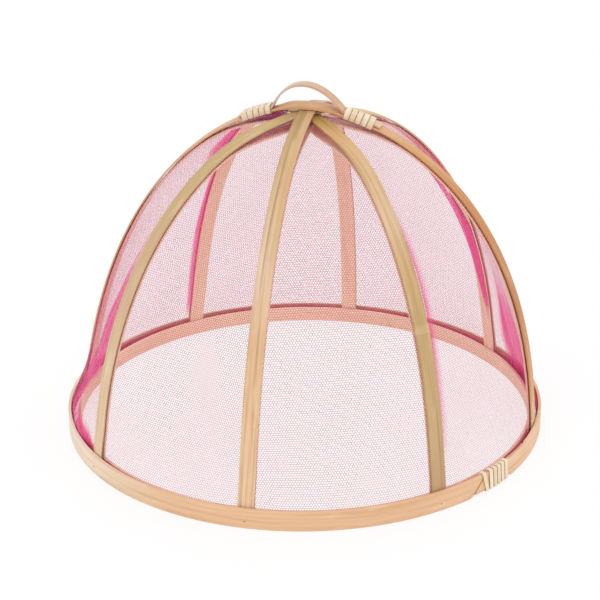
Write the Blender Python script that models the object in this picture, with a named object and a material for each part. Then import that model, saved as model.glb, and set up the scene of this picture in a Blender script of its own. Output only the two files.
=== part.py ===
"""Bamboo food dome: a fine net held between crossing bamboo laths and two hoops, with a bound handle.

Metres, +Z up. The origin is the middle of the rim's underside, where the dome rests on a table. The front
faces -Y. Each lath crosses the whole dome, so it stands over the rim as two half ribs, one at each foot.
"""

from bisect import bisect_right
from collections import namedtuple
from math import atan2, cos, hypot, pi, radians, sin, sqrt, tan

import bmesh
import bpy
import numpy as np
from mathutils import Vector

# Clearances
SEAT_GAP = 0.0003
CROSSING_GAP = 0.0004
PIN_CLEARANCE = 0.0003

# Hoops
HOOP_RADIUS = 0.180
OUTER_HOOP_HEIGHT = 0.0152
OUTER_HOOP_THICKNESS = 0.0022
INNER_HOOP_HEIGHT = 0.0114
INNER_HOOP_THICKNESS = 0.0022
HOOP_CHAMFER = 0.0004
TIP_CHAMFER_SHARE = 1 / 3
HOOP_STATIONS = 84
LAP_STATIONS = 4
LAP_LENGTH = 0.060
LAP_TIP = 0.0005
LAP_RAMP = 0.003
OUTER_LAP_DEGREES = -46.5
INNER_LAP_DEGREES = 45.0
TIP_SLANT = 0.015
TIP_SLANT_REACH = 0.028

# Laths
LATH_WIDTH = 0.0119
LATH_THICKNESS = 0.0015
LATH_CHAMFER = 0.0003
LATH_STATIONS = 20
FOOT_LIFT = 0.001
FOOT_BLEND = 0.036
FOOT_STATION_SHARES = (0.35, 0.62)
DOME_HEIGHT = 0.2473
SHOULDER_INSET = 0.016
CROWN_LEAN = 0.0047
CROSSING_REACH = 0.080
CROWN_RUN_SHARE = 0.32
SHOULDER_HEIGHT_SHARE = 0.789
SEARCH_STEP_SHARE = 1e-7
TURN_IN_SHARE = 0.5

# Feet of the ribs round the rim, from the left front, anticlockwise from above, and how far each
# rib's shoulder stands out from the rest, in shares of the hoop's radius. The bends were made by hand.
RIB_NAMES = (
    "left_front",
    "centre_front",
    "right_front",
    "right",
    "back_right",
    "back_centre",
    "back_left",
    "left",
)
RIB_FOOT_DEGREES = (-148.4, -103.55, -58.1, -15.95, 30.9, 77.4, 121.1, 166.1)
RIB_SHOULDER_SHARES = (0.049, 0.001, 0.003, 0.066, -0.003, -0.007, -0.023, -0.038)

# Laths from the top of the crossing down, each with the first of the two ribs that it makes
LATHS = {"side": "right", "centre": "centre_front", "left_diagonal": "left_front", "right_diagonal": "right_front"}

# Net
NET_THICKNESS = 0.0004
NET_START_RADIUS = 0.006
NET_FOLD_MARGIN = 0.0004
NET_HUG_FADE = 0.045
NET_FOLD_ROOM_SHARE = 0.8
# The solid net is a plain coarse grid of its real mesh, closed over the crown and between the hoops.
NET_COLUMNS = 3
NET_STATIONS_PER_ROW = 2
NET_BAR = 0.0012
NET_OPEN_RADIUS = 0.040

# Rim pins
PIN_RADIUS = 0.0006
PIN_HEIGHT = 0.0055
PIN_PROUD = 0.0002
PIN_CHAMFER = 0.0002
PIN_SIDES = 8
CUT_OVERRUN = 0.002

# Handle
HANDLE_WIDTH = 0.0097
HANDLE_THICKNESS = 0.0016
HANDLE_CHAMFER = 0.0004
HANDLE_SPRING = 0.0262
HANDLE_RISE = 0.0148
HANDLE_BEND = 0.0005
HANDLE_CROWN_ARM = 0.01685
# The top of the arch stands this far to the left of the crossing.
HANDLE_TOP_ASIDE = 0.0032
HANDLE_FOOT_STATIONS = 8
HANDLE_ARCH_STATIONS = 11
HANDLE_RIGHT_END = 0.0535
HANDLE_LEFT_END = 0.051

# Cane strand of the bindings
STRAND_WIDTH = 0.0037
STRAND_THICKNESS = 0.0010
STRAND_EDGE = 0.0005
HANDLE_BINDING_TURNS = 5
HANDLE_BINDING_PITCH = 0.0043
HANDLE_BINDING_START = 0.0290
HANDLE_BINDING_SLANT_SHARE = 0.15
HOOP_BINDING_TURNS = 6
HOOP_BINDING_PITCH = 0.0046
HOOP_BINDING_DEGREES = -44.6
HOOP_BINDING_SLANT_SHARE = 0.30
HOOP_BINDING_LEAD_SHARE = -0.55
NOTCH_MARGIN = 0.0012
NOTCH_RAMP = 0.0015
CORNER_POINTS = 4
SMALL_CORNER_POINTS = 3

# Colours, as linear shares of red, green and blue
OUTER_HOOP_COLOUR_SHARES = (0.78, 0.51, 0.31)
INNER_HOOP_COLOUR_SHARES = (0.72, 0.46, 0.27)
OUTER_LATH_COLOUR_SHARES = ((0.72, 0.44, 0.21), (0.74, 0.50, 0.27), (0.62, 0.47, 0.26), (0.62, 0.42, 0.20))
INNER_LATH_COLOUR_SHARES = (0.70, 0.40, 0.24)
NET_COLOUR_SHARES = (0.80, 0.25, 0.42)
HANDLE_COLOUR_SHARES = (0.68, 0.46, 0.28)
CANE_COLOUR_SHARES = (0.84, 0.70, 0.50)
PIN_COLOUR_SHARES = (0.12, 0.06, 0.05)

# How rough each material is
HOOP_ROUGHNESS = 0.5
LATH_ROUGHNESS = 0.55
NET_ROUGHNESS = 0.8
HANDLE_ROUGHNESS = 0.5
CANE_ROUGHNESS = 0.45
PIN_ROUGHNESS = 0.4

# Edges sharper than this are shaded as edges
CREASE_DEGREES = 35
CANE_CREASE_DEGREES = 50

# Sizes that follow from the ones above
HOOP_FACET_SAG = HOOP_RADIUS * (1 - cos(pi / HOOP_STATIONS))
OUTER_HOOP_BORE = HOOP_RADIUS - OUTER_HOOP_THICKNESS
FOOT_RADIUS = sqrt((OUTER_HOOP_BORE - HOOP_FACET_SAG - SEAT_GAP) ** 2 - (LATH_WIDTH / 2) ** 2)
CROSSING_STEP = LATH_THICKNESS + CROSSING_GAP
NET_DEPTH = LATH_THICKNESS + SEAT_GAP
NET_DROP = (len(LATHS) - 1) * CROSSING_STEP
INNER_LATH_DEPTH = NET_DEPTH + NET_THICKNESS + SEAT_GAP
NOTCH_DEPTH = STRAND_THICKNESS + SEAT_GAP + LAP_TIP / 2
# Inside the hoop's lashing the net keeps clear of the strand.
NET_RIM_RADIUS = OUTER_HOOP_BORE - HOOP_FACET_SAG - STRAND_THICKNESS - 2 * SEAT_GAP - NET_THICKNESS / 2

Rib = namedtuple("Rib", "name foot crown shoulder")


def smooth(share):
    """Smooth step from 0 to 1."""
    share = min(max(share, 0), 1)
    return share * share * (3 - 2 * share)


def make_ribs():
    """The eight half ribs. Two opposite ribs are one lath, so over the crown they share one line."""
    half = len(LATHS)
    ribs = []
    for index, name in enumerate(RIB_NAMES):
        first = index % half
        crown = (RIB_FOOT_DEGREES[first] + RIB_FOOT_DEGREES[first + half] - 180) / 2
        crown += 180 * (index // half)
        foot = RIB_FOOT_DEGREES[index]
        ribs.append(Rib(name, radians(foot), radians(crown), RIB_SHOULDER_SHARES[index] * HOOP_RADIUS))
    return ribs


RIBS = make_ribs()
RIB = {rib.name: rib for rib in RIBS}


def opposite(rib):
    """The other half of a rib's lath."""
    return RIBS[(RIBS.index(rib) + len(LATHS)) % len(RIBS)]


# The two halves of the top lath, which carries the handle
SIDE_RIGHT = RIB[LATHS["side"]]
SIDE_LEFT = opposite(SIDE_RIGHT)


def profile(rib, share):
    """A rib's outer face from crown (share 0) to foot (1): radius, height, and the normal's two parts."""
    outline = (
        (0, DOME_HEIGHT),
        (CROWN_RUN_SHARE * FOOT_RADIUS, DOME_HEIGHT),
        (FOOT_RADIUS - SHOULDER_INSET + rib.shoulder, SHOULDER_HEIGHT_SHARE * DOME_HEIGHT),
        (FOOT_RADIUS, FOOT_LIFT),
    )
    rest = 1 - share
    weights = (rest**3, 3 * rest**2 * share, 3 * rest * share**2, share**3)
    slopes = (-(rest**2), rest**2 - 2 * rest * share, 2 * rest * share - share**2, share**2)
    radius, height = (sum(w * point[axis] for w, point in zip(weights, outline)) for axis in (0, 1))
    run, climb = (sum(s * point[axis] for s, point in zip(slopes, outline)) for axis in (0, 1))
    length = hypot(run, climb)
    return radius, height, -climb / length, run / length


def share_at(rib, radius):
    """The share of a rib at which its outer face lies this far from the axis."""
    low, high = 0, 1
    while high - low > SEARCH_STEP_SHARE:
        middle = (low + high) / 2
        if profile(rib, middle)[0] < radius:
            low = middle
        else:
            high = middle
    return low


def share_above(height):
    """The share of a rib at which it stands this high, which is the same for all of them."""
    low, high = 0, 1
    while high - low > SEARCH_STEP_SHARE:
        middle = (low + high) / 2
        if profile(RIBS[0], middle)[1] > height:
            low = middle
        else:
            high = middle
    return low


def rib_stations():
    """Shares of a rib at which its pieces have a section: even steps, and a few more where the foot turns upright."""
    even = [step / LATH_STATIONS for step in range(LATH_STATIONS + 1)]
    return sorted(even + [share_above(share * FOOT_BLEND) for share in FOOT_STATION_SHARES])


def crossing_plateau():
    """How far from the axis two neighbouring laths still lie one on the other."""
    bearings = sorted(rib.crown for rib in RIBS)
    narrowest = min(after - before for before, after in zip(bearings, bearings[1:]))
    return LATH_WIDTH / 2 / sin(narrowest / 2)


PLATEAU = crossing_plateau()


def crown_to_world(rib, radius, across, height):
    """World point of a place in a rib's own upright plane, with across running anticlockwise."""
    bearing = rib.crown + (rib.foot - rib.crown) * smooth(radius / (TURN_IN_SHARE * HOOP_RADIUS))
    lean = CROWN_LEAN * height / DOME_HEIGHT * smooth(height / FOOT_BLEND)
    x = radius * cos(bearing) - across * sin(bearing) + lean
    y = radius * sin(bearing) + across * cos(bearing)
    return Vector((x, y, height))


def rib_section(rib, share, depth, drop):
    """Radius and height at a depth under a rib's outer face, lowered by the laths above it at the crown."""
    radius, height, out, up = profile(rib, share)
    radius -= out * depth
    height -= up * depth
    away = (radius - PLATEAU) / (CROSSING_REACH - PLATEAU)
    height -= drop * (1 - smooth(away))
    # Between the hoops the foot stands upright.
    foot = FOOT_RADIUS - depth
    radius = foot - (foot - radius) * smooth(height / FOOT_BLEND)
    return radius, height


def rib_point(rib, share, across=0, depth=0, drop=0):
    radius, height = rib_section(rib, share, depth, drop)
    return crown_to_world(rib, radius, across, height)


def inner_hoop_radius():
    """The inner hoop fits inside the inner laths' feet, where they first lean in."""
    depth = INNER_LATH_DEPTH + LATH_THICKNESS
    reach = FOOT_RADIUS
    for rib in RIBS:
        for step in range(LATH_STATIONS * LATH_STATIONS):
            share = 1 - step / LATH_STATIONS**2
            radius, height = rib_section(rib, share, depth, 0)
            if height > INNER_HOOP_HEIGHT:
                break
            reach = min(reach, radius - abs(crown_to_world(rib, 0, 0, height).x))
    return reach - SEAT_GAP


INNER_HOOP_RADIUS = inner_hoop_radius()


def make_material(name, colour, roughness):
    material = bpy.data.materials.new(name)
    material.use_nodes = True
    shader = material.node_tree.nodes["Principled BSDF"]
    shader.inputs["Base Color"].default_value = (*colour, 1)
    shader.inputs["Roughness"].default_value = roughness
    shader.inputs["Metallic"].default_value = 0
    material.diffuse_color = (*colour, 1)
    return material


def loft(name, rings, colour, roughness, crease=CREASE_DEGREES):
    """A solid skinned through a row of rings with equal numbers of points, closed by its end rings."""
    shell = bmesh.new()
    rows = [[shell.verts.new(point) for point in ring] for ring in rings]
    for near, far in zip(rows, rows[1:]):
        for k in range(len(near)):
            shell.faces.new((near[k - 1], near[k], far[k], far[k - 1]))
    shell.faces.new(rows[0])
    shell.faces.new(rows[-1])
    bmesh.ops.recalc_face_normals(shell, faces=shell.faces)
    mesh = bpy.data.meshes.new(name)
    shell.to_mesh(mesh)
    shell.free()
    mesh.shade_smooth()
    mesh.set_sharp_from_angle(angle=radians(crease))
    mesh.materials.append(make_material(name, colour, roughness))
    solid = bpy.data.objects.new(name, mesh)
    bpy.context.collection.objects.link(solid)
    return solid


def lath_outline(width, thickness, chamfer):
    """Section of a split bamboo lath as (across, depth): a flat inner face, and a skin side with eased edges."""
    half = width / 2
    return (
        (chamfer - half, 0),
        (half - chamfer, 0),
        (half, chamfer),
        (half, thickness),
        (-half, thickness),
        (-half, chamfer),
    )


def make_lath(name, near, depth, drop, colour):
    """One lath from foot to foot over the crown, given the first of its ribs."""
    far = opposite(near)
    outline = lath_outline(LATH_WIDTH, LATH_THICKNESS, LATH_CHAMFER)
    rings = []
    stations = rib_stations()
    places = [(near, 1, share) for share in stations[:0:-1]] + [(far, -1, share) for share in stations]
    for rib, side, share in places:
        rings.append([rib_point(rib, share, side * across, depth + inset, drop) for across, inset in outline])
    return loft(name, rings, colour, LATH_ROUGHNESS)


def gore_row(rib, after, share):
    """One line across the middle of a gore's thickness: along one lath, over to the next, and along that one."""
    depth = NET_DEPTH + NET_THICKNESS / 2
    radius = profile(rib, share)[0]
    spread = (after.crown - rib.crown) % (2 * pi)
    room = radius * tan(spread / 2)
    edge = PIN_RADIUS + PIN_CLEARANCE + SEAT_GAP
    fold = min(LATH_WIDTH / 2 + NET_FOLD_MARGIN, NET_FOLD_ROOM_SHARE * room)
    first = [rib_point(rib, share, edge, depth, NET_DROP), rib_point(rib, share, fold, depth, NET_DROP)]
    last = [rib_point(after, share, -fold, depth, NET_DROP), rib_point(after, share, -edge, depth, NET_DROP)]
    start, end = first[-1], last[0]
    bar = NET_BAR / (end - start).length
    middle = []
    for column in range(1, NET_COLUMNS):
        for side in (-1, 1):
            along = column / NET_COLUMNS + side * min(bar, 1 / NET_COLUMNS) / 2
            point = start.lerp(end, along)
            # Down at the rim the net follows the round hoop, and higher up it is drawn straight between the laths.
            hug = np.exp(-max(point.z - OUTER_HOOP_HEIGHT, 0) / NET_HUG_FADE)
            arc = hypot(start.x, start.y) * (1 - along) + hypot(end.x, end.y) * along
            if point.z < OUTER_HOOP_HEIGHT:
                arc = min(arc, NET_RIM_RADIUS)
            swell = 1 + (arc / hypot(point.x, point.y) - 1) * hug
            middle.append(Vector((point.x * swell, point.y * swell, point.z)))
    return first + middle + last


def gore_lines(rib):
    """Shares of the lines across a gore, and which of them start and end a bar of the grid."""
    first = share_at(rib, NET_START_RADIUS)
    shares = [first] + [share for share in rib_stations() if share > first]
    hem = share_above(OUTER_HOOP_HEIGHT)
    free = [share for share in shares if profile(rib, share)[0] > NET_OPEN_RADIUS and share < hem]
    bars = free[::NET_STATIONS_PER_ROW]
    lines = [(share, share in bars) for share in shares]
    for share in bars[1:]:
        after = shares[shares.index(share) + 1]
        length = (rib_point(rib, after) - rib_point(rib, share)).length
        lines.append((share + (after - share) * NET_BAR / length, True))
    return sorted(lines), bars[0], max(share for share in shares if share < hem)


def make_gore(rib, after):
    """The net between two ribs: a sheet whose openings are left out of its rows of faces, given its thickness."""
    lines, top, foot = gore_lines(rib)
    edges = [share for share, is_edge in lines if is_edge and top <= share <= foot]
    rows = [gore_row(rib, after, share) for share, _ in lines]
    shell = bmesh.new()
    verts = [[shell.verts.new(point) for point in row] for row in rows]
    columns = range(len(rows[0]) - 1)
    for k, (share, _) in enumerate(lines[:-1]):
        # An opening runs from the end of one bar to the start of the next.
        is_open = top <= share < foot and bisect_right(edges, share) % 2 == 1
        for column in columns:
            if not (is_open and column % 2 == 1):
                corners = verts[k][column], verts[k][column + 1], verts[k + 1][column + 1], verts[k + 1][column]
                shell.faces.new(corners)
    # Between two bars a column runs straight, with no points of its own.
    spare = []
    for k, (share, is_edge) in enumerate(lines):
        if top < share < foot and not is_edge:
            spare += verts[k][2:-2]
    bmesh.ops.dissolve_verts(shell, verts=spare)
    bmesh.ops.recalc_face_normals(shell, faces=shell.faces)
    return net_solid(f"net_{rib.name}", shell)


def net_solid(name, shell):
    """The net's sheet as a solid of its own thickness, half to each side."""
    mesh = bpy.data.meshes.new(name)
    shell.to_mesh(mesh)
    shell.free()
    mesh.materials.append(make_material(name, NET_COLOUR_SHARES, NET_ROUGHNESS))
    solid = bpy.data.objects.new(name, mesh)
    bpy.context.collection.objects.link(solid)
    wall = solid.modifiers.new("thickness", "SOLIDIFY")
    wall.thickness = NET_THICKNESS
    wall.offset = 0
    wall.use_even_offset = True
    return solid


def hoop_stations(start, lap, extra):
    """Bearings along a hoop from its outer tip, once round and on to its inner tip."""
    regular = [start + 2 * pi * step / HOOP_STATIONS for step in range(HOOP_STATIONS + 1)]
    regular += [start + 2 * pi + lap * step / LAP_STATIONS for step in range(1, LAP_STATIONS + 1)]
    clear = [b for b in regular if min((abs(b - e) for e in extra), default=1) > pi / HOOP_STATIONS / 2]
    return sorted(clear + extra)


def make_hoop(name, radius, height, thickness, degrees, colour, slant=0, notch=None):
    """A lath bent round once, with its two ends thinned and lapped. Its outer tip lies at the bearing given."""
    start = radians(degrees)
    lap, ramp = LAP_LENGTH / radius, LAP_RAMP / radius
    bore = radius - thickness
    thin = LAP_TIP + SEAT_GAP
    full = 2 * pi
    extra = [start, start + lap, start + lap + ramp, start + full - ramp, start + full, start + full + lap]
    if notch:
        repeats = [full * turn + edge for turn in (0, 1) for edge in notch]
        extra += [edge for edge in repeats if start < edge < start + full + lap]
    rings = []
    for bearing in hoop_stations(start, lap, extra):
        along = bearing - start
        # The outer end thickens from its tip, and the inner end thins to its tip behind it.
        inner = bore + max(0, thin + (thickness - thin - LAP_TIP) * (1 - along / lap)) * (along <= lap)
        under = (along - full) / lap
        outer = radius - (thin + (thickness - thin - LAP_TIP) * under) * (along >= full)
        cut = slant / radius * (1 - smooth(abs((along + pi) % full - pi) * radius / TIP_SLANT_REACH))
        sole = 0
        if notch:
            past = (bearing - notch[0]) % full
            sole = np.interp(past, [edge - notch[0] for edge in notch], (0, NOTCH_DEPTH, NOTCH_DEPTH, 0))
        ease = min(HOOP_CHAMFER, (outer - inner) * TIP_CHAMFER_SHARE)
        outline = (
            (outer, sole + ease),
            (outer, height - ease),
            (outer - ease, height),
            (inner, height),
            (inner, sole),
            (outer - ease, sole),
        )
        ring = []
        for reach, level in outline:
            turn = bearing + cut * (level / height - 0.5)
            ring.append(Vector((reach * cos(turn), reach * sin(turn), level)))
        rings.append(ring)
    return loft(name, rings, colour, HOOP_ROUGHNESS)


def pin_circle(bearing, reach, radius):
    """A ring of points round a pin's axis, which points out from the dome's axis at the pins' height."""
    ring = []
    for step in range(PIN_SIDES):
        angle = 2 * pi * step / PIN_SIDES
        side, rise = radius * cos(angle), radius * sin(angle)
        ring.append(
            Vector((
                reach * cos(bearing) - side * sin(bearing),
                reach * sin(bearing) + side * cos(bearing),
                PIN_HEIGHT + rise,
            ))
        )
    return ring


def make_pin(rib):
    """A thin brad through the rim, with eased ends."""
    inside = INNER_HOOP_RADIUS - INNER_HOOP_THICKNESS
    outside = HOOP_RADIUS + PIN_PROUD
    rings = [
        pin_circle(rib.foot, inside, PIN_RADIUS - PIN_CHAMFER),
        pin_circle(rib.foot, inside + PIN_CHAMFER, PIN_RADIUS),
        pin_circle(rib.foot, outside - PIN_CHAMFER, PIN_RADIUS),
        pin_circle(rib.foot, outside, PIN_RADIUS - PIN_CHAMFER),
    ]
    return loft(f"rim_pin_{rib.name}", rings, PIN_COLOUR_SHARES, PIN_ROUGHNESS)


def make_drill(rib):
    """The hole for one rim pin, kept as a guide that isn't drawn."""
    inside = INNER_HOOP_RADIUS - INNER_HOOP_THICKNESS - CUT_OVERRUN
    outside = HOOP_RADIUS + CUT_OVERRUN
    bore = PIN_RADIUS + PIN_CLEARANCE
    rings = [pin_circle(rib.foot, reach, bore) for reach in (inside, outside)]
    drill = loft(f"drill_{rib.name}", rings, PIN_COLOUR_SHARES, PIN_ROUGHNESS)
    drill.hide_render = True
    drill.display_type = "WIRE"
    return drill


def bore_out(solid, drill):
    hole = solid.modifiers.new(drill.name, "BOOLEAN")
    hole.operation = "DIFFERENCE"
    hole.solver = "EXACT"
    hole.object = drill


def handle_line():
    """The underside of the handle as (distance along the side lath, height): foot, arch, foot."""
    halves = []
    for rib, end, aside in (
        (SIDE_LEFT, HANDLE_LEFT_END, HANDLE_TOP_ASIDE),
        (SIDE_RIGHT, HANDLE_RIGHT_END, -HANDLE_TOP_ASIDE),
    ):
        foot = []
        for step in range(HANDLE_FOOT_STATIONS + 1):
            reach = end + (HANDLE_SPRING - end) * step / HANDLE_FOOT_STATIONS
            foot.append(rib_section(rib, share_at(rib, reach), -SEAT_GAP, 0))
        spring = np.array(foot[-1])
        inward = spring - np.array(foot[-2])
        inward *= HANDLE_BEND / np.linalg.norm(inward)
        top = np.array((aside, DOME_HEIGHT + SEAT_GAP + HANDLE_RISE))
        arm = np.array((HANDLE_CROWN_ARM, 0))
        arch = []
        for step in range(1, HANDLE_ARCH_STATIONS + 1):
            share = step / HANDLE_ARCH_STATIONS
            rest = 1 - share
            arch.append(
                rest**3 * spring
                + 3 * rest**2 * share * (spring + inward)
                + 3 * rest * share**2 * (top + arm)
                + share**3 * top
            )
        halves.append([np.array(point) for point in foot] + arch)
    halves[0] = [np.array((-reach, height)) for reach, height in halves[0]]
    return halves[0] + halves[1][-2::-1]


def side_lath_point(along, across, height):
    """World point over the side lath, with along running from its left half to its right half."""
    if along < 0:
        return crown_to_world(SIDE_LEFT, -along, -across, height)
    return crown_to_world(SIDE_RIGHT, along, across, height)


def make_handle():
    line = handle_line()
    outline = lath_outline(HANDLE_WIDTH, HANDLE_THICKNESS, HANDLE_CHAMFER)
    rings = []
    for index, point in enumerate(line):
        heading = line[min(index + 1, len(line) - 1)] - line[max(index - 1, 0)]
        heading /= np.linalg.norm(heading)
        ring = []
        for across, depth in outline:
            lift = HANDLE_THICKNESS - depth
            ring.append(side_lath_point(point[0] - heading[1] * lift, across, point[1] + heading[0] * lift))
        rings.append(ring)
    return loft("handle", rings, HANDLE_COLOUR_SHARES, HANDLE_ROUGHNESS)


def wrap_outline(corners, corner_points, stand):
    """The strand's path once round a core: points and normals held off its corners, and the middle of each
    long side. Corners are (across, out), in order round the core."""
    path = []
    count = len(corners)
    for index in range(count):
        before, here, after = (Vector(corners[(index + k) % count]) for k in (-1, 0, 1))
        angles = [atan2(-edge.x, edge.y) for edge in (here - before, after - here)]
        turn = (angles[1] - angles[0] + pi) % (2 * pi) - pi
        for step in range(corner_points[index]):
            angle = angles[0] + turn * step / (corner_points[index] - 1)
            normal = Vector((cos(angle), sin(angle)))
            path.append((here + stand * normal, normal))
        if (after - here).length > STRAND_WIDTH:
            path.append(((here + after) / 2 + stand * normal, normal))
    return path


def winding_leads(path, back, front, slant, lead):
    """How far along its axis, in turns, the strand has come at each point of a loop. It starts in the middle of
    the back, climbs to 0 at the corner before the front, slants over the front, and goes on over the back."""
    order = path[back:] + path[:back]
    travel = [0]
    for (here, _), (after, _) in zip(order, order[1:]):
        travel.append(travel[-1] + (after - here).length)
    middle = (front - back) % len(order)
    knots = [travel[1], travel[middle - 1], travel[middle + 1], travel[-1]]
    total = travel[-1] + (order[0][0] - order[-1][0]).length
    half_back = (1 - slant) / 2
    places = [0, *knots, total]
    leads = [-half_back if lead is None else lead, lead or 0, lead or 0, slant, slant, slant + half_back]
    return order, [float(np.interp(s, places, leads)) for s in travel]


def make_winding(name, corners, corner_points, turns, pitch, slant, place, first_lead=None):
    """A flat strand wound round a core as one unbroken tube. Place turns (along, across, out) to the world."""
    stand = SEAT_GAP + STRAND_THICKNESS / 2
    path = wrap_outline(corners, corner_points, stand)
    sides = [k for k, (_, normal) in enumerate(path) if is_middle(path, k)]
    front, back = sides[0], sides[-1]
    points = []
    for turn in range(turns):
        order, leads = winding_leads(path, back, front, slant, first_lead if turn == 0 else None)
        for (spot, normal), advance in zip(order, leads):
            points.append((turn + advance, spot, normal))
    spot, normal = path[back]
    points.append((turns - (1 - slant) / 2, spot, normal))
    rings = []
    for advance, spot, normal in points:
        ring = []
        for wide, thick in ((-1, 0), (-1, 1), (1, 1), (1, 0), (1, -1), (-1, -1)):
            aside = (STRAND_WIDTH / 2 - STRAND_EDGE * abs(thick)) * wide
            corner = spot + normal * STRAND_THICKNESS / 2 * thick
            ring.append(place(advance * pitch + aside, corner.x, corner.y))
        rings.append(ring)
    print(f"{name}: {turns} turns, least gap to itself {least_gap(rings, len(path)) * 1000:.2f} mm")
    return loft(name, rings, CANE_COLOUR_SHARES, CANE_ROUGHNESS, CANE_CREASE_DEGREES)


def is_middle(path, index):
    """Whether a point of a loop is the middle of a long side: its neighbours share its normal."""
    normal = path[index][1]
    around = (path[index - 1][1], path[(index + 1) % len(path)][1])
    return all((normal - other).length < 1e-6 for other in around)


def least_gap(rings, loop):
    """Least distance between points of the strand that lie more than half a turn apart along it."""
    points = np.array([[tuple(point) for point in ring] for ring in rings])
    least = np.inf
    for index in range(len(points)):
        others = points[index + loop // 2 :].reshape(-1, 3)
        if len(others):
            apart = np.linalg.norm(points[index][:, None] - others[None], axis=2)
            least = min(least, apart.min())
    return least


def make_handle_binding(name, rib):
    """Cane round one half of the side lath and the handle's foot on it, wound outwards from the arch."""
    half, foot, top = LATH_WIDTH / 2, HANDLE_WIDTH / 2, SEAT_GAP + HANDLE_THICKNESS
    corners = (
        (half, -LATH_THICKNESS),
        (half, 0),
        (foot, top),
        (-foot, top),
        (-half, 0),
        (-half, -LATH_THICKNESS),
    )
    eased = (CORNER_POINTS, SMALL_CORNER_POINTS, SMALL_CORNER_POINTS)
    points = eased + eased[::-1]

    def place(along, across, out):
        reach = HANDLE_BINDING_START + along
        return rib_point(rib, share_at(rib, reach), across, -out)

    return make_winding(
        name, corners, points, HANDLE_BINDING_TURNS, HANDLE_BINDING_PITCH, HANDLE_BINDING_SLANT_SHARE, place
    )


def make_hoop_binding():
    """Cane round the lap of the outer hoop. Its first turn starts early at the top and so lies aslant."""
    middle = HOOP_RADIUS - OUTER_HOOP_THICKNESS / 2
    half = OUTER_HOOP_THICKNESS / 2
    corners = (
        (OUTER_HOOP_HEIGHT, -half),
        (OUTER_HOOP_HEIGHT, half),
        (NOTCH_DEPTH, half),
        (NOTCH_DEPTH, -half),
    )

    def place(along, across, out):
        bearing = radians(HOOP_BINDING_DEGREES) + along / HOOP_RADIUS
        reach = middle + out
        return Vector((reach * cos(bearing), reach * sin(bearing), across))

    return make_winding(
        "hoop_binding",
        corners,
        (CORNER_POINTS,) * 4,
        HOOP_BINDING_TURNS,
        HOOP_BINDING_PITCH,
        HOOP_BINDING_SLANT_SHARE,
        place,
        HOOP_BINDING_LEAD_SHARE,
    )


def binding_notch():
    """Bearings of the shallow notch under the outer hoop's lashing: its ramps and its floor."""
    start = radians(HOOP_BINDING_DEGREES)
    first = start + (HOOP_BINDING_LEAD_SHARE * HOOP_BINDING_PITCH - STRAND_WIDTH / 2 - NOTCH_MARGIN) / HOOP_RADIUS
    reach = HOOP_BINDING_TURNS * HOOP_BINDING_PITCH + STRAND_WIDTH / 2 + NOTCH_MARGIN
    last = start + reach / HOOP_RADIUS
    ramp = NOTCH_RAMP / HOOP_RADIUS
    return first - ramp, first, last, last + ramp


def clear_scene():
    for thing in list(bpy.data.objects):
        bpy.data.objects.remove(thing)


def main():
    clear_scene()
    drills = [make_drill(rib) for rib in RIBS]
    outer_hoop = make_hoop(
        "outer_hoop",
        HOOP_RADIUS,
        OUTER_HOOP_HEIGHT,
        OUTER_HOOP_THICKNESS,
        OUTER_LAP_DEGREES,
        OUTER_HOOP_COLOUR_SHARES,
        TIP_SLANT,
        binding_notch(),
    )
    inner_hoop = make_hoop(
        "inner_hoop",
        INNER_HOOP_RADIUS,
        INNER_HOOP_HEIGHT,
        INNER_HOOP_THICKNESS,
        INNER_LAP_DEGREES,
        INNER_HOOP_COLOUR_SHARES,
    )
    for hoop in (outer_hoop, inner_hoop):
        for drill in drills:
            bore_out(hoop, drill)
    for level, (name, first) in enumerate(LATHS.items()):
        rib, drop = RIB[first], level * CROSSING_STEP
        outer = make_lath(f"outer_lath_{name}", rib, 0, drop, OUTER_LATH_COLOUR_SHARES[level])
        inner = make_lath(f"inner_lath_{name}", rib, INNER_LATH_DEPTH, NET_DROP + drop, INNER_LATH_COLOUR_SHARES)
        for lath in (outer, inner):
            for half in (rib, opposite(rib)):
                bore_out(lath, drills[RIBS.index(half)])
    for index, rib in enumerate(RIBS):
        make_gore(rib, RIBS[(index + 1) % len(RIBS)])
        make_pin(rib)
    make_handle()
    make_handle_binding("handle_binding_right", SIDE_RIGHT)
    make_handle_binding("handle_binding_left", SIDE_LEFT)
    make_hoop_binding()


main()
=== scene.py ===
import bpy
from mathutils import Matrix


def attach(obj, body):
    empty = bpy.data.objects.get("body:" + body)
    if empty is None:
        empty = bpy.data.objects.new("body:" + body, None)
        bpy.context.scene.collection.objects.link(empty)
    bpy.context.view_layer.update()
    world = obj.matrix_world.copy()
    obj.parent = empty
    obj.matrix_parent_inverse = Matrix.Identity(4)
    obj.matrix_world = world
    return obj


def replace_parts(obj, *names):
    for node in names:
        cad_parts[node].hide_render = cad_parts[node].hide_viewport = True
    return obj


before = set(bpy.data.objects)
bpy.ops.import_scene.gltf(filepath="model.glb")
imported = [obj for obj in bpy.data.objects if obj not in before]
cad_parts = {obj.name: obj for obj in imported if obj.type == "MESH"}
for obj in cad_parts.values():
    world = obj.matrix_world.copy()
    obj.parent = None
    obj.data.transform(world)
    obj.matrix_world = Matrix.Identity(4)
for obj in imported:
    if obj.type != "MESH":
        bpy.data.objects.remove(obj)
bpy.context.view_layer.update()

from math import atan2, cos, exp, hypot, pi, radians, sin, sqrt, tan

import bmesh
import bpy
import numpy as np
from mathutils import Matrix, Vector

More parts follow.
